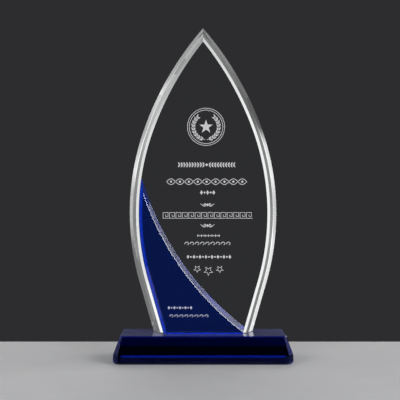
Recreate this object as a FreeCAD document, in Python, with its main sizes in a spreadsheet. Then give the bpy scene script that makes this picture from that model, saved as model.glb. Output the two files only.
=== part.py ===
import FreeCAD, Part
import math
import os
import Sketcher
from FreeCAD import Placement, Rotation, Vector

# A crystal award: a clear pointed-oval blade, bevelled deeply all round its front, a cobalt crystal
# accent bonded over the lower left of the blade, and a cobalt base block with sloping sides.
# Millimetres. +Z is up, the front of the award faces -Y, and the origin is the middle of the base's
# underside. Nothing moves: films of clear adhesive hold the crystal pieces face to face.

SIZES = {
    # the whole award
    "award_height": 215.9,      # from the table to the tip of the blade
    # base block
    "base_width": 114.3,
    "base_depth": 50.8,
    "base_height": 17.5,
    "band_height": 6.0,         # upright band round the bottom, below the sloping sides
    "side_inset": 4.3,          # how far each sloping side leans in by the top
    "corner_cut": 2.9,          # leg of the flat that takes off each corner of the band
    "top_corner_cut": 1.5,      # leg of the same flat at the top
    "base_arris": 0.8,          # polished edge round the top
    "foot_arris": 1.5,          # polished edge round the bottom
    # clear blade
    "blade_width": 96.0,        # across its widest point
    "widest_height": 95.1,      # height of the widest point above the table
    "foot_width": 64.9,         # across the foot, which stands on the base
    "belly_tightening": 12.1,   # how much less the belly's radius is than the smaller single arc's
    "upper_easing": 30.3,       # how much more the upper arc's radius is than the single arc's
    "blade_thickness": 14.0,
    "wall_height": 1.5,         # upright rim left at the back
    "rim_facet_width": 2.35,    # first bevel, next to the rim, measured in from the outline
    "rim_facet_height": 7.4,    # the same bevel, measured forward from the rim
    "bevel_width": 5.2,         # out to the main bevel's front edge, measured in from the outline
    "face_arris": 1.2,          # flat between the face and the main bevel
    # cobalt accent on the blade's face
    "accent_thickness": 4.0,
    "accent_height": 118.0,     # height of its upper point above the table
    "accent_radius": 185.6,     # its hollow edge, on the right
    "accent_toe": 4.2,          # its short right-hand end, measured up from its foot
    "accent_margin": 0.4,       # bare strip between its edge and the blade's bevel
    "hollow_bevel": 3.0,        # bevel along the hollow edge
    "outer_bevel": 1.8,         # bevel along the edge beside the blade's rim
    # adhesive
    "bond_film": 0.25,
    "bond_margin": 0.6,         # how far the film stops short of the edges of a foot
}

os.makedirs("parts", exist_ok=True)
doc = FreeCAD.newDocument("crystal_award")
sheet = doc.addObject("Spreadsheet::Sheet", "dims")
for row, (alias, number) in enumerate(SIZES.items(), start=1):
    sheet.set(f"A{row}", alias)
    sheet.set(f"B{row}", str(number))
    sheet.setAlias(f"B{row}", alias)
doc.recompute()

# Places that several pieces share. The accent, its film and the blade make one stack, centred on
# the base from front to back.
STACK = "(dims.accent_thickness + dims.bond_film + dims.blade_thickness)"
BLADE_BACK = f"{STACK} / 2"
BLADE_FRONT = f"({STACK} / 2 - dims.blade_thickness)"
ACCENT_BACK = f"({STACK} / 2 - dims.blade_thickness - dims.bond_film)"
FOOT = "(dims.base_height + dims.bond_film)"
FACE_INSET = "(dims.bevel_width + dims.face_arris)"
ACCENT_INSET = f"({FACE_INSET} + dims.accent_margin)"

# The blade's outline on each side. It is upright at the widest point, and a single arc could run
# from there to the tip, and another to the foot. The real belly is an arc tighter than both. An
# easier arc goes on from it to the tip, and a straight run to the foot.
RISE = "(dims.award_height - dims.widest_height)"
WIDEST = "(dims.blade_width / 2)"
TIP_ARC = f"(({RISE} ^ 2 + {WIDEST} ^ 2) / (2 * {WIDEST}))"
DROP = f"(dims.widest_height - {FOOT})"
LEAN = "((dims.blade_width - dims.foot_width) / 2)"
FOOT_ARC = f"(({DROP} ^ 2 + {LEAN} ^ 2) / (2 * {LEAN}))"
BELLY_RADIUS = f"(min({TIP_ARC}; {FOOT_ARC}) - dims.belly_tightening)"
UPPER_RADIUS = f"({TIP_ARC} + dims.upper_easing)"

# The numbers that constraints use for the places on a line or an arc, for a sketch's origin and for
# its upright axis.
START, END, CENTRE = 1, 2, 3
ORIGIN = (-1, 1)
UPRIGHT = -2
TOUCH = 1e-3


def value(expression):
    """What an expression over the sheet comes to."""
    return float(sheet.evalExpression(expression))


def new_body(name):
    body = doc.addObject("PartDesign::Body", name)
    body.Label = name
    return body


def origin_plane(body, role):
    return next(item for item in body.Origin.OriginFeatures if item.Role == role)


def new_sketch(body, name, role, offset):
    """A sketch on one of the body's origin planes, moved along the plane's normal."""
    sketch = body.newObject("Sketcher::SketchObject", name)
    sketch.AttachmentSupport = [(origin_plane(body, role), "")]
    sketch.MapMode = "FlatFace"
    sketch.setExpression("AttachmentOffset.Base.z", offset)
    return sketch


def upright_sketch(body, name, depth):
    """A sketch that faces the front at Y = depth, with its axes along X and Z."""
    return new_sketch(body, name, "XZ_Plane", f"-({depth})")


def level_sketch(body, name, height):
    """A sketch that faces up at Z = height, with its axes along X and Y."""
    return new_sketch(body, name, "XY_Plane", height)


def fix(sketch, kind, *places):
    return sketch.addConstraint(Sketcher.Constraint(kind, *places))


def bind(sketch, name, expression, kind, *places):
    """A dimension that follows the sheet."""
    index = fix(sketch, kind, *places, value(expression))
    sketch.renameConstraint(index, name)
    sketch.setExpression(f"Constraints.{name}", expression)


def bind_point(sketch, name, place, across, up):
    """Holds a place of the sketch at its distances across and up from the sketch's origin."""
    bind(sketch, f"{name}_across", across, "DistanceX", *ORIGIN, *place)
    bind(sketch, f"{name}_up", up, "DistanceY", *ORIGIN, *place)


def polygon(sketch, corners, name="corner"):
    """A closed outline with straight sides. Its corners are pairs of expressions, in order."""
    points = [Vector(value(across), value(up), 0) for across, up in corners]
    sides = [sketch.addGeometry(Part.LineSegment(points[i - 1], points[i])) for i in range(len(points))]
    for i, (across, up) in enumerate(corners):
        fix(sketch, "Coincident", sides[i], END, sides[(i + 1) % len(sides)], START)
        bind_point(sketch, f"{name}_{i}", (sides[i], END), across, up)


def polygon_pair(sketch, corners):
    """The same outline on both sides of the sketch's upright axis."""
    polygon(sketch, corners, "right")
    polygon(sketch, [(f"-({across})", up) for across, up in reversed(corners)], "left")


def arc(centre, start, end):
    """An arc that runs anticlockwise from start to end."""
    first = math.atan2(start.y - centre.y, start.x - centre.x)
    last = math.atan2(end.y - centre.y, end.x - centre.x)
    circle = Part.Circle(centre, Vector(0, 0, 1), (start - centre).Length)
    return Part.ArcOfCircle(circle, first, last)


def pad(body, sketch, name, length):
    feature = body.newObject("PartDesign::Pad", name)
    feature.Profile = sketch
    feature.setExpression("Length", length)
    doc.recompute()
    return feature


def saw(body, sketch, name):
    """Cuts the sketch's outlines away through the whole body, on both sides of the sketch."""
    feature = body.newObject("PartDesign::Pocket", name)
    feature.Profile = sketch
    feature.Type = "ThroughAll"
    feature.Midplane = True
    doc.recompute()
    return feature


def chamfer(body, name, base, edges, width, depth=None):
    """A flat along the named edges: of equal legs, or with its own depth down the second face."""
    feature = body.newObject("PartDesign::Chamfer", name)
    feature.Base = (base, edges)
    feature.setExpression("Size", width)
    if depth:
        feature.ChamferType = "Two distances"
        feature.FlipDirection = True
        feature.setExpression("Size2", depth)
    doc.recompute()
    return feature


def edge_names(feature, wanted):
    """The names of the feature's edges that wanted picks by their box."""
    edges = enumerate(feature.Shape.Edges, start=1)
    return [f"Edge{number}" for number, edge in edges if wanted(edge.BoundBox)]


def lies_at(low, high, place):
    """True if a box's low and high sides along one axis both lie at the place."""
    return abs(low - place) < TOUCH and abs(high - place) < TOUCH


# --- The base: a cobalt block with an upright band round the bottom, four sides that lean in above
# it, a flat down each corner and a polished edge round its top and round its bottom.
base = new_body("base_block")
half_width, half_depth = "dims.base_width / 2", "dims.base_depth / 2"
front_view = upright_sketch(base, "front_view", half_depth)
polygon(front_view, [
    (half_width, "0"),
    (half_width, "dims.band_height"),
    (f"{half_width} - dims.side_inset", "dims.base_height"),
    (f"-({half_width} - dims.side_inset)", "dims.base_height"),
    (f"-{half_width}", "dims.band_height"),
    (f"-{half_width}", "0"),
])
pad(base, front_view, "block", "dims.base_depth")
side_view = new_sketch(base, "side_view", "YZ_Plane", "0")
polygon_pair(side_view, [
    (half_depth, "dims.band_height"),
    (half_depth, "dims.base_height"),
    (f"{half_depth} - dims.side_inset", "dims.base_height"),
])
saw(base, side_view, "front_and_back_slopes")
corner_view = upright_sketch(base, "corner_view", "0")
corner_view.AttachmentOffset = Placement(Vector(), Rotation(Vector(0, 1, 0), 45))
diagonal = f"({half_width} + {half_depth}) / sqrt(2)"
polygon_pair(corner_view, [
    (f"{diagonal} - dims.corner_cut / sqrt(2)", "0"),
    (diagonal, "0"),
    (diagonal, "dims.base_height"),
    (f"{diagonal} - (2 * dims.side_inset + dims.top_corner_cut) / sqrt(2)", "dims.base_height"),
    (f"{diagonal} - dims.corner_cut / sqrt(2)", "dims.band_height"),
])
corner_flats = saw(base, corner_view, "corner_flats")
far_flats = base.newObject("PartDesign::Mirrored", "far_corner_flats")
far_flats.Originals = [corner_flats]
far_flats.MirrorPlane = (origin_plane(base, "YZ_Plane"), [""])
base.Tip = far_flats
doc.recompute()
top_edges = edge_names(far_flats, lambda box: lies_at(box.ZMin, box.ZMax, value("dims.base_height")))
base_arris = chamfer(base, "base_arris", far_flats, top_edges, "dims.base_arris")
bottom_edges = edge_names(base_arris, lambda box: lies_at(box.ZMin, box.ZMax, 0))
chamfer(base, "foot_arris", base_arris, bottom_edges, "dims.foot_arris")

# --- The blade's film: clear adhesive between the base's polished top and the blade's foot. It
# follows the foot, which narrows towards the front where the bevels run down to it.
blade_bond = new_body("blade_bond")
bond_outline = level_sketch(blade_bond, "blade_bond_outline", "dims.base_height")
rear_half = "(dims.foot_width / 2 - dims.bond_margin)"
middle_half = f"({rear_half} - dims.rim_facet_width)"
front_half = f"({rear_half} - {FACE_INSET})"
rim_front = f"({BLADE_BACK} - dims.wall_height)"
facet_front = f"({rim_front} - dims.rim_facet_height)"
polygon(bond_outline, [
    (rear_half, f"{BLADE_BACK} - dims.bond_margin"),
    (f"-{rear_half}", f"{BLADE_BACK} - dims.bond_margin"),
    (f"-{rear_half}", rim_front),
    (f"-{middle_half}", facet_front),
    (f"-{front_half}", f"{BLADE_FRONT} + dims.bond_margin"),
    (front_half, f"{BLADE_FRONT} + dims.bond_margin"),
    (middle_half, facet_front),
    (rear_half, rim_front),
])
pad(blade_bond, bond_outline, "blade_bond_film", "dims.bond_film")


# --- The blade: a thick clear crystal with a pointed oval outline that stands on its cut foot. Deep
# bevels run up both sides and meet in a mitre at the tip.
class Side:
    """One side of the blade's outline: 1 is the right side, -1 the left."""

    def __init__(self, side):
        self.foot = Vector(side * value("dims.foot_width / 2"), value(FOOT), 0)
        self.tip = Vector(0, value("dims.award_height"), 0)
        radius = value(BELLY_RADIUS)
        self.belly_centre = Vector(side * (value(WIDEST) - radius), value("dims.widest_height"), 0)
        away = self.foot - self.belly_centre
        lean = math.degrees(side * math.acos(radius / away.Length))
        outward = Rotation(Vector(0, 0, 1), lean).multVec(away.normalize())
        self.touch = self.belly_centre + outward * radius
        # The upper arc passes through the tip and holds the belly arc inside it.
        reach = value(UPPER_RADIUS)
        gap = self.belly_centre - self.tip
        along = (reach**2 - (reach - radius) ** 2 + gap.Length**2) / (2 * gap.Length)
        unit = gap.normalize()
        across = Vector(-unit.y, unit.x, 0) * side
        self.upper_centre = self.tip + unit * along - across * math.sqrt(reach**2 - along**2)
        self.joint = self.upper_centre + (self.belly_centre - self.upper_centre).normalize() * reach


blade = new_body("clear_blade")
blade_outline = upright_sketch(blade, "blade_outline", BLADE_BACK)
right, left = Side(1), Side(-1)
right_run = blade_outline.addGeometry(Part.LineSegment(right.foot, right.touch))
right_belly = blade_outline.addGeometry(arc(right.belly_centre, right.touch, right.joint))
right_upper = blade_outline.addGeometry(arc(right.upper_centre, right.joint, right.tip))
left_upper = blade_outline.addGeometry(arc(left.upper_centre, left.tip, left.joint))
left_belly = blade_outline.addGeometry(arc(left.belly_centre, left.joint, left.touch))
left_run = blade_outline.addGeometry(Part.LineSegment(left.touch, left.foot))
foot_line = blade_outline.addGeometry(Part.LineSegment(left.foot, right.foot))
fix(blade_outline, "Tangent", right_run, END, right_belly, START)
fix(blade_outline, "Tangent", right_belly, END, right_upper, START)
fix(blade_outline, "Coincident", right_upper, END, left_upper, START)
fix(blade_outline, "Tangent", left_upper, END, left_belly, START)
fix(blade_outline, "Tangent", left_belly, END, left_run, START)
fix(blade_outline, "Coincident", left_run, END, foot_line, START)
fix(blade_outline, "Coincident", foot_line, END, right_run, START)
fix(blade_outline, "PointOnObject", right_upper, END, UPRIGHT)
bind(blade_outline, "tip_up", "dims.award_height", "DistanceY", *ORIGIN, right_upper, END)
bind(blade_outline, "belly_radius", BELLY_RADIUS, "Radius", right_belly)
bind(blade_outline, "upper_radius", UPPER_RADIUS, "Radius", right_upper)
bind_point(
    blade_outline, "belly_centre", (right_belly, CENTRE), f"{WIDEST} - {BELLY_RADIUS}", "dims.widest_height"
)
bind_point(blade_outline, "foot", (right_run, START), "dims.foot_width / 2", FOOT)
fix(blade_outline, "Equal", right_belly, left_belly)
fix(blade_outline, "Equal", right_upper, left_upper)
fix(blade_outline, "Symmetric", right_belly, CENTRE, left_belly, CENTRE, UPRIGHT)
fix(blade_outline, "Symmetric", right_run, START, left_run, END, UPRIGHT)
slab = pad(blade, blade_outline, "blade_slab", "dims.blade_thickness")


def face_edges(feature):
    """The edges that follow the outline's sides in the blade's front face, without the foot's."""
    place, above = value(BLADE_FRONT), value(FOOT) + TOUCH
    return edge_names(feature, lambda box: lies_at(box.YMin, box.YMax, place) and box.ZMax > above)


# Each bevel is cut from the front face: the steep one next to the rim, the main one, and a narrow
# flat that takes off the last edge.
facet_depth = "(dims.blade_thickness - dims.wall_height)"
facet_lean = "(dims.rim_facet_width / dims.rim_facet_height)"
facet_reach = f"({facet_depth} * {facet_lean})"
rim_facets = chamfer(blade, "rim_facets", slab, face_edges(slab), facet_reach, facet_depth)
bevels = chamfer(
    blade, "main_bevels", rim_facets, face_edges(rim_facets), f"dims.bevel_width - {facet_reach}",
    f"({facet_depth} - dims.rim_facet_height) * sqrt(1 + {facet_lean} ^ 2)",
)
chamfer(blade, "face_arrises", bevels, face_edges(bevels), "dims.face_arris")


# --- The accent: a cobalt crystal plate on the lower left of the blade's face. Its left edge runs
# beside the bevel up to a point, and a hollow edge swings from there down to the right.
def accent_outline(body, name, depth):
    sketch = upright_sketch(body, name, depth)
    inset, floor = value(ACCENT_INSET), value(FOOT)
    along = (left.touch - left.foot).normalize()
    inner_touch = left.touch + (left.belly_centre - left.touch).normalize() * inset
    inner_foot = inner_touch + along * ((floor - inner_touch.y) / along.y)
    rise = value("dims.accent_height - dims.widest_height")
    radius = value(BELLY_RADIUS) - inset
    point = left.belly_centre + Vector(-math.sqrt(radius**2 - rise**2), rise, 0)
    toe_foot = Vector(-inner_foot.x, floor, 0)
    toe = toe_foot + Vector(-along.x, along.y, 0) * (value("dims.accent_toe") / along.y)
    chord = toe - point
    reach = value("dims.accent_radius")
    across = Vector(-chord.y, chord.x, 0).normalize()
    hollow_centre = (point + toe) / 2 + across * math.sqrt(reach**2 - (chord.Length / 2) ** 2)

    run = sketch.addGeometry(Part.LineSegment(inner_touch, inner_foot))
    foot_line = sketch.addGeometry(Part.LineSegment(inner_foot, toe_foot))
    toe_line = sketch.addGeometry(Part.LineSegment(toe_foot, toe))
    hollow = sketch.addGeometry(arc(hollow_centre, point, toe))
    side = sketch.addGeometry(arc(left.belly_centre, point, inner_touch))
    fix(sketch, "Coincident", run, END, foot_line, START)
    fix(sketch, "Coincident", foot_line, END, toe_line, START)
    fix(sketch, "Coincident", toe_line, END, hollow, END)
    fix(sketch, "Coincident", hollow, START, side, START)
    fix(sketch, "Tangent", side, END, run, START)
    fix(sketch, "Horizontal", foot_line)
    bind(sketch, "side_radius", f"{BELLY_RADIUS} - {ACCENT_INSET}", "Radius", side)
    bind(sketch, "point_up", "dims.accent_height", "DistanceY", *ORIGIN, side, START)
    bind(sketch, "foot_up", FOOT, "DistanceY", *ORIGIN, run, END)
    bind(sketch, "toe_up", f"{FOOT} + dims.accent_toe", "DistanceY", *ORIGIN, toe_line, END)
    bind(sketch, "hollow_radius", "dims.accent_radius", "Radius", hollow)

    # The blade's own side lines, which the accent's run and toe keep parallel to
    rim = sketch.addGeometry(Part.Circle(left.belly_centre, Vector(0, 0, 1), value(BELLY_RADIUS)), True)
    rim_end = left.foot + along * ((left.belly_centre.y - left.foot.y) / along.y)
    left_rim = sketch.addGeometry(Part.LineSegment(left.foot, rim_end), True)
    right_rim = sketch.addGeometry(Part.LineSegment(right.foot, Vector(-rim_end.x, rim_end.y, 0)), True)
    fix(sketch, "Coincident", side, CENTRE, rim, CENTRE)
    fix(sketch, "Tangent", left_rim, rim)
    fix(sketch, "Symmetric", left_rim, START, right_rim, START, UPRIGHT)
    fix(sketch, "Symmetric", left_rim, END, right_rim, END, UPRIGHT)
    fix(sketch, "Parallel", run, left_rim)
    fix(sketch, "Parallel", toe_line, right_rim)
    bind_point(sketch, "rim_centre", (rim, CENTRE), f"{BELLY_RADIUS} - {WIDEST}", "dims.widest_height")
    bind(sketch, "rim_radius", BELLY_RADIUS, "Radius", rim)
    bind_point(sketch, "rim_foot", (left_rim, START), "-dims.foot_width / 2", FOOT)
    bind(sketch, "rim_end", "dims.widest_height", "DistanceY", *ORIGIN, left_rim, END)
    bind(sketch, "toe_gap", ACCENT_INSET, "Distance", toe_line, START, right_rim)
    return sketch


accent = new_body("blue_accent")
plate_outline = accent_outline(accent, "accent_outline", ACCENT_BACK)
plate = pad(accent, plate_outline, "accent_plate", "dims.accent_thickness")


def accent_face_edges(feature, wanted):
    """The edges in the accent's front face that wanted picks by their box."""
    place = value(ACCENT_BACK) - value("dims.accent_thickness")
    return edge_names(feature, lambda box: lies_at(box.YMin, box.YMax, place) and wanted(box))


toe_top = value(f"{FOOT} + dims.accent_toe")
hollow_edge = accent_face_edges(plate, lambda box: abs(box.ZMin - toe_top) < TOUCH)
hollow_bevel = chamfer(accent, "hollow_bevel", plate, hollow_edge, "dims.hollow_bevel")
left_edges = accent_face_edges(hollow_bevel, lambda box: box.XMax < 0)
chamfer(accent, "outer_bevel", hollow_bevel, left_edges, "dims.outer_bevel")

# --- The accent's two films: one between its back and the blade's face, and one under its foot.
accent_bond = new_body("accent_bond")
film_outline = accent_outline(accent_bond, "film_outline", BLADE_FRONT)
pad(accent_bond, film_outline, "accent_film", "dims.bond_film")

accent_foot_bond = new_body("accent_foot_bond")
foot_outline = level_sketch(accent_foot_bond, "accent_foot_outline", "dims.base_height")
foot_half = f"(dims.foot_width / 2 - {ACCENT_INSET} - dims.outer_bevel)"
accent_front = f"({ACCENT_BACK} - dims.accent_thickness)"
polygon(foot_outline, [
    (foot_half, f"{ACCENT_BACK} - dims.bond_margin"),
    (f"-{foot_half}", f"{ACCENT_BACK} - dims.bond_margin"),
    (f"-{foot_half}", f"{accent_front} + dims.bond_margin"),
    (foot_half, f"{accent_front} + dims.bond_margin"),
])
pad(accent_foot_bond, foot_outline, "accent_foot_film", "dims.bond_film")

# --- Checks and files
doc.recompute()
for item in doc.Objects:
    if "Invalid" in item.State or "Error" in item.State:
        raise RuntimeError(f"{item.Label}: {item.State}")
for node in (base, blade_bond, blade, accent_bond, accent, accent_foot_bond):
    shape = node.Shape
    if shape.isNull() or not shape.isValid() or len(shape.Solids) != 1:
        raise RuntimeError(f"{node.Label}: not one valid solid")
    shape.exportStep(f"parts/{node.Label}.step")
    print(node.Label, round(shape.Volume, 1), shape.BoundBox)
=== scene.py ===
import math
import bmesh
import bpy
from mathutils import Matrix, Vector


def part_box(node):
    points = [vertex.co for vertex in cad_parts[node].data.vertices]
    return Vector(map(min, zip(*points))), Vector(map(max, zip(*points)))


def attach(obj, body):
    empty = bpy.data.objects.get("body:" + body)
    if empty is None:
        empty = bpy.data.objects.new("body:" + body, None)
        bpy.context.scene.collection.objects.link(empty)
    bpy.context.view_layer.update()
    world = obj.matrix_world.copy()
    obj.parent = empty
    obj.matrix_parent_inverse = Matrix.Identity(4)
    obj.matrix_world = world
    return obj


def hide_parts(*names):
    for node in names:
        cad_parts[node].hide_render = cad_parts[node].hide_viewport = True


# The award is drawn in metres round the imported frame: X runs across it, Z up, and its front faces -Y.
# The sections follow it as it is put together, and the table, the studio and the camera come last.
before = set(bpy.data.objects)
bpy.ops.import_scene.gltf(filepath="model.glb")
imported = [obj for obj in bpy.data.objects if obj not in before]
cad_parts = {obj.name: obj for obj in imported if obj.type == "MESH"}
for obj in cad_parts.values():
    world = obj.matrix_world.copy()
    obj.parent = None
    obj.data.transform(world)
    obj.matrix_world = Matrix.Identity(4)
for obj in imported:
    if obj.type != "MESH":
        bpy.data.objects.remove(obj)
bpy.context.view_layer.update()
MM = 0.001                      # a millimetre, in metres

# --- Base block -------------------------------------------------------------------------------------
# One block of cobalt crystal with the dye melted right through it. Its band, its sloping sides and
# the flats down its corners are ground on a wheel, and every face and arris is polished clear.
INDEX = 1.52                    # how strongly the crystal bends light
WAVE_HEIGHT = 0.01 * MM         # of the waves that the polishing wheel leaves
WAVE_SCALE = 60.0               # how many of them there are to the metre


def new_material(name):
    """An empty node material and its output."""
    material = bpy.data.materials.new(name)
    material.use_nodes = True
    material.node_tree.nodes.clear()
    output = material.node_tree.nodes.new("ShaderNodeOutputMaterial")
    return material, output


def add(material, kind, **sockets):
    """Adds a node, with the values of its sockets by their names."""
    node = material.node_tree.nodes.new("ShaderNode" + kind)
    for name, setting in sockets.items():
        node.inputs[name.replace("_", " ")].default_value = setting
    return node


def link(material, source, target):
    """Joins an output of one node to an input of another."""
    material.node_tree.links.new(source, target)


def unevenness(material, scale, detail, roughness):
    """Noise that is fixed to the piece, at so many waves to the metre."""
    spot = add(material, "TexCoord")
    noise = add(material, "TexNoise", Scale=scale, Detail=detail, Roughness=roughness)
    link(material, spot.outputs["Object"], noise.inputs["Vector"])
    return noise


def relief(material, noise, shader, strength, height):
    """Raises the surface by the noise."""
    bump = add(material, "Bump", Strength=strength, Distance=height)
    link(material, noise.outputs["Fac"], bump.inputs["Height"])
    link(material, bump.outputs["Normal"], shader.inputs["Normal"])


def crystal(name, colour, clearness, dye, density, **sockets):
    """Polished crystal: light bends through it, and its dye takes more light the further that goes.
    The sockets are further ones of its shader."""
    material, output = new_material(name)
    glass = add(material, "BsdfPrincipled", Base_Color=colour, Roughness=0.0, IOR=INDEX,
                Transmission_Weight=clearness, **sockets)
    waves = unevenness(material, scale=WAVE_SCALE, detail=2.0, roughness=0.5)
    relief(material, waves, glass, strength=1.0, height=WAVE_HEIGHT)
    link(material, glass.outputs["BSDF"], output.inputs["Surface"])
    if density:
        depth = add(material, "VolumeAbsorption", Color=dye, Density=density)
        link(material, depth.outputs["Volume"], output.inputs["Volume"])
    return material


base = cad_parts["base_block"]
base.data.materials.clear()
base.data.materials.append(crystal(
    "cobalt_base",
    colour=(0.8, 0.85, 1.0, 1.0),
    clearness=1.0,
    dye=(0.0, 0.70, 0.858, 1.0),
    density=420.0,
    Specular_Tint=(0.1, 0.15, 1.0, 1.0),
    Sheen_Weight=0.3,
    Sheen_Roughness=0.3,
    Sheen_Tint=(0.42, 0.46, 1.0, 1.0),
))

# --- The blade's film -------------------------------------------------------------------------------
# A film of clear adhesive, cured by light, holds the blade's foot to the polished top of the base. It
# stops just short of the foot's edges.
WALL = 1.5 * MM                 # upright rim left at the blade's back
RIM_FACET = 2.35 * MM           # first bevel, measured in from the outline
RIM_FACET_DEPTH = 7.4 * MM      # the same bevel, measured forward from the rim
BEVEL = 5.2 * MM                # out to the main bevel's front edge, measured in from the outline
ARRIS = 1.2 * MM                # flat between the face and the main bevel
BOND_MARGIN = 0.6 * MM          # how far the film stops short of the foot's edges
AIR = 0.004 * MM                # keeps a film's faces out of its neighbours' planes


def solid(shape, rings):
    """A closed solid through rings of points that are in the same order, with a cap at each end."""
    loops = [[shape.verts.new(point) for point in ring] for ring in rings]
    for one, two in zip(loops, loops[1:]):
        for i in range(len(one)):
            shape.faces.new((one[i - 1], one[i], two[i], two[i - 1]))
    shape.faces.new(loops[0])
    shape.faces.new(loops[-1])


def make(name, shape, material):
    """An object of one material with the form of the shape."""
    mesh = bpy.data.meshes.new(name)
    shape.to_mesh(mesh)
    mesh.materials.append(material)
    thing = bpy.data.objects.new(name, mesh)
    bpy.context.scene.collection.objects.link(thing)
    return thing


def place(name, shape, material, slot, *nodes):
    """Makes the shape a piece of the award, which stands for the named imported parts."""
    bmesh.ops.recalc_face_normals(shape, faces=shape.faces)
    piece = make(name, shape, material)
    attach(piece, "root")
    if nodes:
        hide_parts(*nodes)


WHITE = (1.0, 1.0, 1.0, 1.0)
adhesive = crystal("clear_adhesive", colour=WHITE, clearness=1.0, dye=WHITE, density=0.0)
low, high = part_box("blade_bond")
FOOT_HALF = high.x + BOND_MARGIN        # half the width of the blade's foot
rim_front = high.y + BOND_MARGIN - WALL
outline = [
    (high.x - BEVEL - ARRIS, low.y),
    (high.x - RIM_FACET, rim_front - RIM_FACET_DEPTH),
    (high.x, rim_front),
    (high.x, high.y),
]
outline += [(-x, y) for x, y in reversed(outline)]
shape = bmesh.new()
solid(shape, [[(x, y, z) for x, y in outline] for z in (low.z + AIR, high.z - AIR)])
place("blade_film", shape, adhesive, "bond", "blade_bond")

# --- Clear blade ------------------------------------------------------------------------------------
# A 14 mm slab of clear crystal, sawn to a pointed oval. Three flats are ground up each side of its
# front and meet in a mitre at the tip. The ridge between the first two is taken down to a fine
# flat of its own, and the whole is polished on felt.
low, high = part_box("clear_blade")
FOOT, TIP = low.z, high.z
FACE, BACK = low.y, high.y
WIDEST = 95.1 * MM              # height of the widest point
BELLY_RADIUS = 163.91 * MM      # the outline's middle arc
UPPER_RADIUS = 206.31 * MM      # the easier arc from there to the tip
RIDGE_FLAT = 0.6 * MM           # how far the fine flat reaches onto each bevel beside it
RUN_STEPS, BELLY_STEPS, UPPER_STEPS = 24, 150, 100
SHARP = math.radians(4)         # faces that meet at more than this keep a crisp edge


def meeting(one, reach_one, two, reach_two, side):
    """The point at its own distance from each of two places, on the left (1) or the right (-1) of the
    way from the first to the second."""
    way = two - one
    along = (reach_one**2 - reach_two**2 + way.length**2) / (2 * way.length)
    unit = way.normalized()
    return one + unit * along + Vector((-unit.y, unit.x)) * side * math.sqrt(reach_one**2 - along**2)


def on_circle(centre, radius, angle):
    """The point of a circle at an angle."""
    return centre + Vector((math.cos(angle), math.sin(angle))) * radius


def arc(centre, radius, first, last, steps):
    """Points at even steps along an arc, from its first angle and without the one at its last."""
    return [on_circle(centre, radius, first + (last - first) * i / steps) for i in range(steps)]


def bearing(centre, point):
    """The angle at which a point lies from a centre."""
    return math.atan2(point.y - centre.y, point.x - centre.x)


belly_centre = Vector((high.x - BELLY_RADIUS, WIDEST))
upper_centre = meeting(Vector((0, TIP)), UPPER_RADIUS, belly_centre, UPPER_RADIUS - BELLY_RADIUS, -1)
# the two ends of the belly arc: where it passes into the upper arc, and into the straight run
JOINT_ANGLE = bearing(upper_centre, belly_centre)
foot_corner = Vector((FOOT_HALF, FOOT))
lean = math.acos(BELLY_RADIUS / (foot_corner - belly_centre).length)
TOUCH_ANGLE = bearing(belly_centre, foot_corner) + lean


def right_run(inset):
    """The straight run at the bottom of the right outline, moved in by inset: its foot and its top."""
    top = on_circle(belly_centre, BELLY_RADIUS - inset, TOUCH_ANGLE)
    down = Vector((math.sin(TOUCH_ANGLE), -math.cos(TOUCH_ANGLE)))
    return top + down * ((FOOT - top.y) / down.y), top


def right_side(inset):
    """The right outline, moved in by inset: the straight run, the belly arc and the upper arc."""
    foot, top = right_run(inset)
    belly, upper = BELLY_RADIUS - inset, UPPER_RADIUS - inset
    last = math.acos(-upper_centre.x / upper)
    points = [foot.lerp(top, i / RUN_STEPS) for i in range(RUN_STEPS)]
    points += arc(belly_centre, belly, TOUCH_ANGLE, JOINT_ANGLE, BELLY_STEPS)
    points += arc(upper_centre, upper, JOINT_ANGLE, last, UPPER_STEPS)
    return points + [on_circle(upper_centre, upper, last)]


def sharpen(shape):
    """Smooth faces, with a crisp edge wherever two of them meet at more than a slight angle."""
    bmesh.ops.recalc_face_normals(shape, faces=shape.faces)
    for face in shape.faces:
        face.smooth = True
    for edge in shape.edges:
        if len(edge.link_faces) == 2 and edge.calc_face_angle() > SHARP:
            edge.smooth = False


def beside(corner, towards, reach):
    """The point at its reach from a corner of the profile, on the way towards another corner."""
    return corner + (towards - corner).normalized() * reach


# the profile of one side: how far in from the outline each edge lies, and how far back
rim = Vector((0.0, BACK - WALL))
ridge = Vector((RIM_FACET, BACK - WALL - RIM_FACET_DEPTH))
front = Vector((BEVEL, FACE))
profile = [
    (0.0, BACK),
    rim,
    beside(ridge, rim, RIDGE_FLAT),
    beside(ridge, front, RIDGE_FLAT),
    beside(front, ridge, ARRIS),
    (BEVEL + ARRIS, FACE),
]
shape = bmesh.new()
edges = {1: [], -1: []}
for inset, depth in profile:
    outline = right_side(inset)
    for side in (1, -1):
        edges[side].append([shape.verts.new((side * p.x, depth, p.y)) for p in outline])
# from edge to edge: up one side's bevels, across the face, down the other's and across the back
rows = edges[1] + edges[-1][::-1]
for one, two in zip(rows, rows[1:] + rows[:1]):
    for i in range(len(one) - 1):
        shape.faces.new((one[i], one[i + 1], two[i + 1], two[i]))
# the cut foot
right, left = ([edge[0] for edge in edges[side]] for side in (1, -1))
for i in range(len(profile) - 1):
    shape.faces.new((right[i], right[i + 1], left[i + 1], left[i]))
# the two sides share the points of the mitre at the tip
bmesh.ops.remove_doubles(shape, verts=shape.verts, dist=0.0001 * MM)
sharpen(shape)
clear = crystal("clear_crystal", colour=WHITE, clearness=1.0, dye=(0.6, 0.9, 0.85, 1.0), density=3.0)
place("bevelled_blade", shape, clear, "clear_crystal", "clear_blade")

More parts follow.
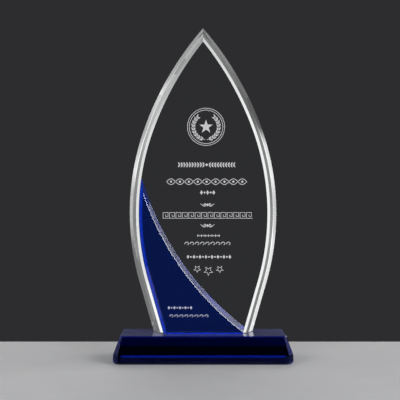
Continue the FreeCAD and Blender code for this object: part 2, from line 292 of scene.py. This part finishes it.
# --- Engraving on the blade -------------------------------------------------------------------------
# Ornament blasted into the blade's face through a stencil. The grit leaves the crystal frosted white,
# with a fine tooth that shows as a faint mottle.
PROUD, SUNK = 0.04 * MM, 0.02 * MM      # how far a line stands before the face and reaches behind it
LINE, FINE_LINE = 0.42 * MM, 0.3 * MM   # the stencil's ordinary lines and its finer ones


def mottle(material, noise, shader, shade, colour, start, end):
    """Colours the shader from a shade to a colour, as the noise goes from its start to its end."""
    ramp = add(material, "ValToRGB")
    ends = ramp.color_ramp.elements
    ends[0].position, ends[1].position = start, end
    ends[0].color, ends[1].color = shade, colour
    link(material, noise.outputs["Fac"], ramp.inputs["Fac"])
    link(material, ramp.outputs["Color"], shader.inputs["Base Color"])


def frosted(name, colour, shade):
    """Blasted crystal: matt, and mottled between a colour and a darker shade of it."""
    material, output = new_material(name)
    matt = add(material, "BsdfPrincipled", Roughness=0.65)
    grit = unevenness(material, scale=2200.0, detail=3.0, roughness=0.6)
    mottle(material, grit, matt, shade, colour, start=0.35, end=0.6)
    relief(material, grit, matt, strength=0.6, height=0.02 * MM)
    link(material, matt.outputs["BSDF"], output.inputs["Surface"])
    return material


def edges_of(points, widths, closed):
    """The two edges of a line that is as wide at each point as widths says, mitred at its corners."""
    left, right = [], []
    for i, point in enumerate(points):
        before = point - points[i - 1] if i or closed else points[i + 1] - point
        after = points[(i + 1) % len(points)] - point if i + 1 < len(points) or closed else before
        one, two = before.normalized(), after.normalized()
        across = Vector((-one.y - two.y, one.x + two.x)).normalized()
        mitre = max(0.25, across.dot(Vector((-one.y, one.x))))
        left.append(point + across * widths[i] / 2 / mitre)
        right.append(point - across * widths[i] / 2 / mitre)
    return left, right


def engrave(name, face, material, slot, strokes):
    """A group of frosted lines in the crystal's face. Each is its points, its widths, and whether its
    end joins its start."""
    shape = bmesh.new()
    for points, widths, closed in strokes:
        left, right = edges_of(points, widths, closed)
        rows = []
        for one, two, width in zip(left, right, widths):
            near = [shape.verts.new((one.x, y, one.y)) for y in (face - PROUD, face + SUNK)]
            far = near[::-1]
            if width:
                far = [shape.verts.new((two.x, y, two.y)) for y in (face + SUNK, face - PROUD)]
            rows.append(near + far)
        for one, two in zip(rows, rows[1:] + rows[:1] if closed else rows[1:]):
            for i in range(4):
                corners = list(dict.fromkeys((one[i - 1], one[i], two[i], two[i - 1])))
                if len(corners) > 2:
                    shape.faces.new(corners)
        for end, width in ((rows[0], widths[0]), (rows[-1], widths[-1])):
            if width and not closed:
                shape.faces.new(end)
    place(name, shape, material, slot)


def line(points, width=LINE, closed=False):
    """A stroke that is as wide all along."""
    return points, [width] * len(points), closed


def bead(x, z, radius):
    """A round dot."""
    steps = [math.pi * i / 8 for i in range(9)]
    widths = [2 * radius * math.sin(step) if 0 < i < 8 else 0.0 for i, step in enumerate(steps)]
    return [Vector((x - radius * math.cos(step), z)) for step in steps], widths, False


def lozenge(x, z, width, height):
    """A diamond on its point."""
    return [Vector((x + width * share, z)) for share in (-0.5, 0, 0.5)], [0.0, height, 0.0], False


def leaf(base, tip, width):
    """A leaf that is widest a little before its middle."""
    shares = [0, 0.12, 0.28, 0.45, 0.65, 0.85, 1]
    widths = [0.0, 0.6 * width, 0.95 * width, width, 0.8 * width, 0.4 * width, 0.0]
    return [base.lerp(tip, share) for share in shares], widths, False


def whole_star(centre, radius):
    """A five-pointed star in five kites, with a point up."""
    inner = 0.382 * radius
    reach, spread = inner * math.cos(math.pi / 5), 2 * inner * math.sin(math.pi / 5)
    strokes = []
    for i in range(5):
        arm = math.pi / 2 + math.tau * i / 5
        kite = [on_circle(centre, out, arm) for out in (0, reach, radius)]
        strokes.append((kite, [0.0, spread, 0.0], False))
    return strokes


def star_outline(centre, radius, width):
    """The outline of a five-pointed star, with a point down."""
    corners = []
    for i in range(10):
        out = 0.46 * radius if i % 2 else radius
        corners.append(on_circle(centre, out, -math.pi / 2 + math.pi * i / 5))
    return line(corners, width, True)


def laurel_rule(x, z, width, height):
    """A straight stem with pairs of leaves that point away from a bead in the middle."""
    strokes = [bead(x, z, 0.24 * height)]
    pairs = round(width / 2 / (0.58 * height))
    start = 0.45 * height
    step = (width / 2 - start) / pairs
    for side in (-1, 1):
        stem = [Vector((x + side * reach, z)) for reach in (start, width / 2 - 0.5 * step)]
        strokes.append(line(stem, 0.22 * MM))
        for i in range(pairs):
            root = Vector((x + side * (start + i * step), z))
            for up in (-1, 1):
                tip = root + Vector((side * 0.62 * step, up * 0.5 * height))
                strokes.append(leaf(root, tip, 0.26 * height))
    return strokes


def bead_rule(x, z, width, height):
    """Lozenges and beads by turns."""
    count = 2 * round(width / (0.62 * height) / 2) + 1
    step = width / count
    strokes = []
    for i in range(count):
        at = x + (i - (count - 1) / 2) * step
        strokes.append(bead(at, z, 0.17 * height) if i % 2 else lozenge(at, z, 0.95 * step, 0.8 * height))
    return strokes


def guilloche(x, z, width, height):
    """Two waves that cross, with a bead in each eye."""
    eyes = round(width / (1.3 * height))
    eye = width / eyes
    bends = 12                  # points of a wave to each eye
    strokes = []
    for phase in (0, math.pi):
        wave = []
        for i in range(bends * eyes + 1):
            lift = 0.44 * height * math.sin(phase + math.pi * i / bends)
            wave.append(Vector((x - width / 2 + eye * i / bends, z + lift)))
        strokes.append(line(wave, 0.4 * MM))
    strokes += [bead(x + (i - (eyes - 1) / 2) * eye, z, 0.17 * height) for i in range(eyes)]
    return strokes


def key_rule(x, z, width, height):
    """A running key: square hooks on a straight line."""
    count = round(width / (1.12 * height))
    step = width / count
    low = z - height / 2
    hook = [(0, 0), (0, 1), (0.78, 1), (0.78, 0.32), (0.4, 0.32), (0.4, 0.66)]
    strokes = [line([Vector((x - width / 2, low)), Vector((x + width / 2, low))], FINE_LINE)]
    for i in range(count):
        start = x - width / 2 + (i + 0.06) * step
        corners = [Vector((start + across * step, low + up * height)) for across, up in hook]
        strokes.append(line(corners, FINE_LINE))
    return strokes


def scroll_rule(x, z, width, height):
    """A running wave, each curl of which rolls in on itself."""
    count = round(width / (1.05 * height))
    step = width / count
    shares = [i / 14 for i in range(15)]
    widths = [LINE * (1.15 - 0.6 * share) for share in shares]
    strokes = []
    for i in range(count):
        middle = Vector((x + (i - (count - 1) / 2) * step, z))
        curl = []
        for share in shares:
            turn = math.pi * (1 + 1.55 * share)
            curl.append(on_circle(middle, height * (0.5 - 0.4 * share), -turn))
        strokes.append((curl, widths, False))
    return strokes


def flourish(x, z, width, height):
    """A lozenge with two tendrils to each side, a long and a short one, which taper as they swing out."""
    strokes = [lozenge(x, z, 0.16 * width, height)]
    shares = [i / 12 for i in range(13)]
    widths = [0.55 * MM * (1 - share**2) + 0.1 * MM for share in shares[:-1]] + [0.0]
    for side in (-1, 1):
        for up, reach in ((1, 0.5), (-1, 0.34)):
            swing = []
            for share in shares:
                out = width * (0.08 + (reach - 0.08) * share)
                drop = up * 0.36 * height * math.sin(1.5 * math.pi * share)
                swing.append(Vector((x + side * out, z - drop)))
            strokes.append((swing, widths, False))
    return strokes


white_frost = frosted("white_frost", colour=(0.93, 0.93, 0.94, 1.0), shade=(0.7, 0.7, 0.72, 1.0))

# the round emblem: two rings, a laurel wreath that is open at the top, and a star
EMBLEM = Vector((1.9, 151.0)) * MM
RING_RADII, RING_LINE = (12.0 * MM, 10.8 * MM), 0.34 * MM
WREATH_RADIUS, WREATH_END = 8.3 * MM, 146       # the wreath runs up to this many degrees from below
LEAF_SPREAD, LEAF_WIDTH = 1.35 * MM, 0.95 * MM


def on_wreath(side, turn, out=0.0):
    """A place on one side of the wreath, or so far outside it, at a turn in degrees from below."""
    return on_circle(EMBLEM, WREATH_RADIUS + out, math.radians(-90 + side * turn))


strokes = [line(arc(EMBLEM, radius, 0, math.tau, 96), RING_LINE, True) for radius in RING_RADII]
for side in (-1, 1):
    strokes.append(line([on_wreath(side, turn) for turn in range(4, WREATH_END, 6)], FINE_LINE))
    for turn in range(12, WREATH_END, 15):
        for out in (-LEAF_SPREAD, LEAF_SPREAD):
            strokes.append(leaf(on_wreath(side, turn), on_wreath(side, turn + 17, out), LEAF_WIDTH))
strokes += whole_star(EMBLEM, 4.6 * MM)
engrave("engraved_emblem", FACE, white_frost, "clear_crystal", strokes)


def ruled(rules):
    """The strokes of rules that are given in millimetres: across, up, width and height."""
    return [stroke for rule, *numbers in rules for stroke in rule(*(number * MM for number in numbers))]


RULES = [
    (laurel_rule, 2.3, 126.5, 38.2, 3.4),
    (guilloche, 2.3, 115.6, 51.8, 4.2),
    (bead_rule, 2.9, 108.6, 9.9, 3.6),
    (key_rule, 2.9, 93.8, 58.0, 3.7),
    (bead_rule, 3.5, 80.7, 14.8, 2.1),
    (scroll_rule, 3.2, 75.3, 30.2, 3.3),
    (bead_rule, 3.8, 67.0, 29.0, 3.2),
]
engrave("engraved_rules", FACE, white_frost, "clear_crystal", ruled(RULES))

FLOURISHES = [(flourish, 2.8, 100.6, 9.6, 2.1), (flourish, 2.8, 87.2, 9.6, 2.1)]
engrave("engraved_flourishes", FACE, white_frost, "clear_crystal", ruled(FLOURISHES))

STARS = [(-3.8, 59.2, 2.2), (3.45, 57.9, 2.9), (10.8, 59.0, 2.2)]
STAR_LINE = 0.27 * MM
strokes = [star_outline(Vector((x, z)) * MM, radius * MM, STAR_LINE) for x, z, radius in STARS]
engrave("engraved_stars", FACE, white_frost, "clear_crystal", strokes)

# --- The accent's films -----------------------------------------------------------------------------
# The same adhesive holds the accent's whole back to the blade's face, and its foot to the base. The
# film behind the accent has the outline that the accent is cut to.
low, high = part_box("accent_foot_bond")
shape = bmesh.new()
foot = [(low.x, low.y), (high.x, low.y), (high.x, high.y), (low.x, high.y)]
solid(shape, [[(x, y, z) for x, y in foot] for z in (low.z + AIR, high.z - AIR)])
place("accent_foot_film", shape, adhesive, "bond", "accent_foot_bond")

ACCENT_MARGIN = 0.4 * MM        # bare strip between the accent and the blade's bevel
ACCENT_INSET = BEVEL + ARRIS + ACCENT_MARGIN
HOLLOW_RADIUS = 185.6 * MM      # the accent's hollow edge
TOE_HEIGHT = 4.2 * MM           # its short end on the right, measured up from its foot
SIDE_STEPS, HOLLOW_STEPS = 90, 110
low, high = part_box("blue_accent")
POINT = high.z                  # height of the accent's upper point
ACCENT_FACE, ACCENT_BACK = low.y, high.y
left_centre = Vector((-belly_centre.x, belly_centre.y))
side_radius = BELLY_RADIUS - ACCENT_INSET
point = left_centre + Vector((-math.sqrt(side_radius**2 - (POINT - WIDEST) ** 2), POINT - WIDEST))
toe_foot, toe_top = right_run(ACCENT_INSET)
toe_up = (toe_top - toe_foot).normalized()
toe = toe_foot + toe_up * (TOE_HEIGHT / toe_up.y)
hollow_centre = meeting(point, HOLLOW_RADIUS, toe, HOLLOW_RADIUS, 1)


def accent_outline(side_inset=0.0, hollow_inset=0.0, hollow_shift=Vector((0.0, 0.0)), foot_rise=0.0):
    """The accent's outline, moved in beside the blade's rim and along the hollow edge, and up at the
    foot. It starts at the foot on the left and ends at the foot on the right."""
    foot, touch = (Vector((-p.x, p.y)) for p in right_run(ACCENT_INSET + side_inset))
    centre, radius = hollow_centre + hollow_shift, HOLLOW_RADIUS + hollow_inset
    corner = meeting(left_centre, side_radius - side_inset, centre, radius, 1)
    first, last = bearing(left_centre, touch) % math.tau, bearing(left_centre, corner) % math.tau
    points = [foot.lerp(touch, foot_rise / (touch.y - foot.y))]
    points += arc(left_centre, side_radius - side_inset, first, last, SIDE_STEPS)
    # the hollow's circle ends where it meets the toe's line
    to_foot = toe_foot - centre
    half = to_foot.dot(toe_up)
    climb = -half - math.sqrt(half**2 - to_foot.length**2 + radius**2)
    end = toe_foot + toe_up * climb
    first, last = bearing(centre, corner) % math.tau, bearing(centre, end) % math.tau
    points += arc(centre, radius, first, last, HOLLOW_STEPS)
    return points + [end, toe_foot + toe_up * (foot_rise / toe_up.y)]


outline = accent_outline()
shape = bmesh.new()
solid(shape, [[(p.x, y, p.y) for p in outline] for y in (ACCENT_BACK + AIR, FACE - AIR)])
place("accent_film", shape, adhesive, "bond", "accent_bond")

# --- Cobalt accent ----------------------------------------------------------------------------------
# A 4 mm plate of the same cobalt crystal as the base, cut to a sail. Its edge beside the rim and its
# hollow edge are bevelled at 45 degrees, the hollow one wider but narrowing towards the point. Fine
# arrises are polished beside both bevels and along the foot.
SIDE_BEVEL, HOLLOW_BEVEL = 2.3 * MM, 3.0 * MM
POINT_SHARE = 0.65              # how much of the hollow bevel's width is left at the point
SIDE_FINE, HOLLOW_FINE = 0.3 * MM, 0.4 * MM     # how far each fine arris reaches onto the face
FINE_SLOPE = math.tan(math.radians(22.5))       # they lean halfway between the face and the bevel
FINE_DEPTH = FINE_SLOPE / (1 - FINE_SLOPE)      # and run this deep, as a share of their reach
FOOT_FINE, FOOT_FINE_DEPTH = 0.55 * MM, 0.8 * MM


def cut_in(back, bevel, fine):
    """How far a bevel and its fine arris cut an edge in, at a depth behind the face."""
    return max(0.0, bevel - back, bevel + fine - back / FINE_SLOPE)


# the hollow bevel's inner edge keeps the hollow's circle, moved so that only the point's end narrows
to_point, to_toe = (point - hollow_centre).normalized(), (toe - hollow_centre).normalized()
sideways = Vector((-to_toe.y, to_toe.x))
narrowing = sideways * ((POINT_SHARE - 1) * HOLLOW_BEVEL / sideways.dot(to_point))
# a ring at the back, at each depth where a bevel or an arris ends, and at the face
depths = (ACCENT_BACK - ACCENT_FACE, HOLLOW_BEVEL, SIDE_BEVEL, FOOT_FINE_DEPTH,
          HOLLOW_FINE * FINE_DEPTH, SIDE_FINE * FINE_DEPTH, 0.0)
rings = []
for back in depths:
    outline = accent_outline(
        side_inset=cut_in(back, SIDE_BEVEL, SIDE_FINE),
        hollow_inset=cut_in(back, HOLLOW_BEVEL, HOLLOW_FINE),
        hollow_shift=narrowing * max(0.0, 1 - back / HOLLOW_BEVEL),
        foot_rise=FOOT_FINE * max(0.0, 1 - back / FOOT_FINE_DEPTH),
    )
    rings.append([(p.x, ACCENT_FACE + back, p.y) for p in outline])
shape = bmesh.new()
solid(shape, rings)
sharpen(shape)
cobalt = crystal(
    "cobalt_accent",
    colour=(0.02, 0.10, 0.75, 1.0),
    clearness=0.9,
    dye=(0.0, 0.2, 0.7, 1.0),
    density=527.0,
)
place("accent_plate", shape, cobalt, "cobalt_crystal", "blue_accent")

# --- Engraving on the accent ------------------------------------------------------------------------
# Two short rules of the same ornament, blasted low on the accent's face. Against the blue their frost
# looks cooler.
cool_frost = frosted("cool_frost", colour=(0.72, 0.75, 0.92, 1.0), shade=(0.5, 0.53, 0.75, 1.0))
ACCENT_RULES = [
    (bead_rule, -14.9, 34.5, 16.0, 2.9),
    (scroll_rule, -8.8, 28.9, 25.8, 2.9),
]
engrave("engraved_accent_rules", ACCENT_FACE, cool_frost, "cobalt_crystal", ruled(ACCENT_RULES))

# --- Table ------------------------------------------------------------------------------------------
# A plain pale board that the award stands on. It isn't part of the award. There is air between it
# and the base's polished underside, so that the underside mirrors.
TABLE_HALF, TABLE_FRONT, TABLE_REAR = 0.25, -0.17, 0.09     # metres, from under the award's middle
TABLE_GAP = 0.05 * MM
material, output = new_material("pale_board")
board = add(material, "BsdfPrincipled", Roughness=0.6)
grain = unevenness(material, scale=40.0, detail=6.0, roughness=0.6)
mottle(material, grain, board, (0.47, 0.47, 0.48, 1.0), (0.53, 0.53, 0.54, 1.0), start=0.0, end=1.0)
link(material, board.outputs["BSDF"], output.inputs["Surface"])
shape = bmesh.new()
for x, y in ((-1, TABLE_FRONT), (1, TABLE_FRONT), (1, TABLE_REAR), (-1, TABLE_REAR)):
    shape.verts.new((x * TABLE_HALF, y, -TABLE_GAP))
shape.faces.new(shape.verts)
table = make("table", shape, material)

# --- Studio -----------------------------------------------------------------------------------------
# A dark grey room. Upright diffusion screens behind the award fill its bevels with light. One high
# lamp behind lights the base's edge, those at the sides light the accent's bevels, and those in
# front light the engraving.
world = bpy.data.worlds.new("studio")
bpy.context.scene.world = world
world.use_nodes = True
room = world.node_tree.nodes["Background"]
room.inputs["Color"].default_value = (0.0262, 0.0262, 0.0284, 1)
room.inputs["Strength"].default_value = 1.0
MIDDLE = 0.11                   # height of the award's middle, which every lamp faces


def area_lamp(name, location, out, width, height, glow):
    """A rectangular lamp that shines against out. Its glow is given from the bottom up, as pairs of a
    share of its height and the light there."""
    lamp = bpy.data.lights.new(name, "AREA")
    lamp.shape = "RECTANGLE"
    lamp.size, lamp.size_y = width, height
    peak = max(light for share, light in glow)
    lamp.energy = peak * width * height * math.pi
    lamp.use_nodes = True
    nodes, links = lamp.node_tree.nodes, lamp.node_tree.links
    spot = nodes.new("ShaderNodeNewGeometry")
    split = nodes.new("ShaderNodeSeparateXYZ")
    levels = nodes.new("ShaderNodeValToRGB")
    stops = levels.color_ramp.elements
    stops[0].position, stops[1].position = glow[0][0], glow[-1][0]
    for share, light in glow[1:-1]:
        stops.new(share)
    for stop, (share, light) in zip(stops, glow):
        stop.color = (light / peak, light / peak, light / peak, 1.0)
    links.new(spot.outputs["Parametric"], split.inputs["Vector"])
    links.new(split.outputs["Y"], levels.inputs["Fac"])
    links.new(levels.outputs["Color"], nodes["Emission"].inputs["Strength"])
    box = bpy.data.objects.new(name, lamp)
    box.location = location
    box.rotation_euler = out.to_track_quat("Z", "Y").to_euler()
    box.visible_camera = False
    bpy.context.scene.collection.objects.link(box)


SOFTBOX_DISTANCE = 1.6


def softbox(name, azimuth, elevation, width, height, *lights):
    """A lamp at an azimuth and elevation in degrees, measured from behind the award and round its
    middle. Its lights are spread evenly over its height, from the bottom up."""
    turn, rise = math.radians(azimuth), math.radians(elevation)
    out = Vector((math.sin(turn) * math.cos(rise), math.cos(turn) * math.cos(rise), math.sin(rise)))
    glow = [(i / (len(lights) - 1), light) for i, light in enumerate(lights)]
    area_lamp(name, out * SOFTBOX_DISTANCE + Vector((0, 0, MIDDLE)), out, width, height, glow)


SCREEN_DISTANCE = 1.5
REACH = math.radians(40)        # how far each screen reaches above and below the award's middle


def screen(name, first, last, *glow):
    """An upright screen behind the award, between two azimuths in degrees. Its glow is pairs of an
    elevation in degrees and the light there."""
    turn = math.radians((first + last) / 2)
    out = Vector((math.sin(turn), math.cos(turn), 0))
    width = 2 * SCREEN_DISTANCE * math.tan(math.radians(last - first) / 2)
    height = 2 * SCREEN_DISTANCE * math.tan(REACH)
    glow = [(0.5 + 0.5 * math.tan(math.radians(rise)) / math.tan(REACH), light) for rise, light in glow]
    area_lamp(name, out * SCREEN_DISTANCE + Vector((0, 0, MIDDLE)), out, width, height, glow)


# The left bevels look to the right, and the right bevels to the left: each facet looks through the
# crystal at a screen of its own.
screen("right_arris", 10, 19,
       (-6, 1.0), (-2.6, 1.0), (-2.2, 0.9), (-1.7, 0.55), (-1.2, 0.42), (-0.4, 0.27))
screen("right_accent", 19, 29,
       (-8, 0.3), (-6, 1.05), (3, 1.05), (8, 0.2), (20, 0.2), (22.5, 0.5))
screen("right_middle", 33, 40.5,
       (-16, 0.3), (-13, 0.36), (-9.5, 0.36), (-7, 0.16), (-4, 0.1), (0, 0.1), (2, 0.2))
screen("right_ridge", 41.5, 48,
       (-20, 0.35), (-17, 0.5), (-15.5, 0.9), (-11.6, 0.85), (-9.8, 1.2), (-6.6, 1.15), (-5.4, 0.6),
       (-4.5, 0.15), (6, 0.15))
screen("right_outer", 50, 72,
       (-24, 0.23), (-19, 0.25), (-17, 0.9), (-13.5, 0.56), (-8, 1.1), (-5, 0.65), (-1, 0.56),
       (3, 0.22), (10, 0.25))
screen("left_inner", -29, -10,
       (-8, 0.1), (-6, 0.95), (-1.9, 0.95), (-1.4, 0.82), (-0.5, 0.6), (3, 0.6), (8, 0.95),
       (19, 0.95), (24, 0.55))
screen("left_middle", -40.5, -33,
       (-16, 0.2), (-13.3, 0.19), (-12.2, 0.09), (-10.5, 0.09), (-9.3, 0.2), (0, 0.2), (3, 0.15))
screen("left_ridge", -48, -41.5,
       (-20, 0.18), (-13, 0.12), (-12.2, 0.2), (-10.5, 1.3), (-6.6, 1.3), (-4.5, 0.9), (-2.4, 0.95),
       (0.9, 1.4), (3, 1.1), (6, 1.1))
screen("left_outer", -72, -50,
       (-24, 0.1), (-14, 0.13), (-11.5, 1.1), (-7, 1.15), (-4, 0.8), (0, 0.85), (2, 1.15))
softbox("left_side", -90, 38, 0.8, 1.4, 1.0, 1.0)
softbox("right_side", 90, 36, 1.1, 1.35, 0.0, 2.3, 3.1, 3.3, 3.5)
softbox("high_back", 0, 35, 0.9, 0.45, 4.0, 3.0, 1.0)
softbox("front_left", -143, 22, 0.5, 0.8, 6.0, 6.0)
softbox("front_right", 138, 20, 0.62, 0.7, 9.0, 9.0)

# --- Camera -----------------------------------------------------------------------------------------
# A long lens straight in front of the award and a little above its middle, where the photograph was
# taken from. It looks down just enough to bring its own height to the photograph's row for it.
EYE = (-0.002, -0.825, 0.117)   # where the camera stands, in metres
FOCUS = 1270                    # focal length in pixels of the 400 pixel frame
FRAME, SENSOR = 400, 36.0
HORIZON = 179.5                 # pixel row of the camera's own height
camera_data = bpy.data.cameras.new("camera")
camera = bpy.data.objects.new("camera", camera_data)
bpy.context.scene.collection.objects.link(camera)
bpy.context.scene.camera = camera
camera_data.sensor_width = SENSOR
camera_data.lens = FOCUS / FRAME * SENSOR
camera.location = EYE
tilt = math.atan((FRAME / 2 - HORIZON) / FOCUS)
camera.rotation_euler = (math.pi / 2 - tilt, 0, 0)

bpy.context.scene.view_settings.view_transform = "Standard"
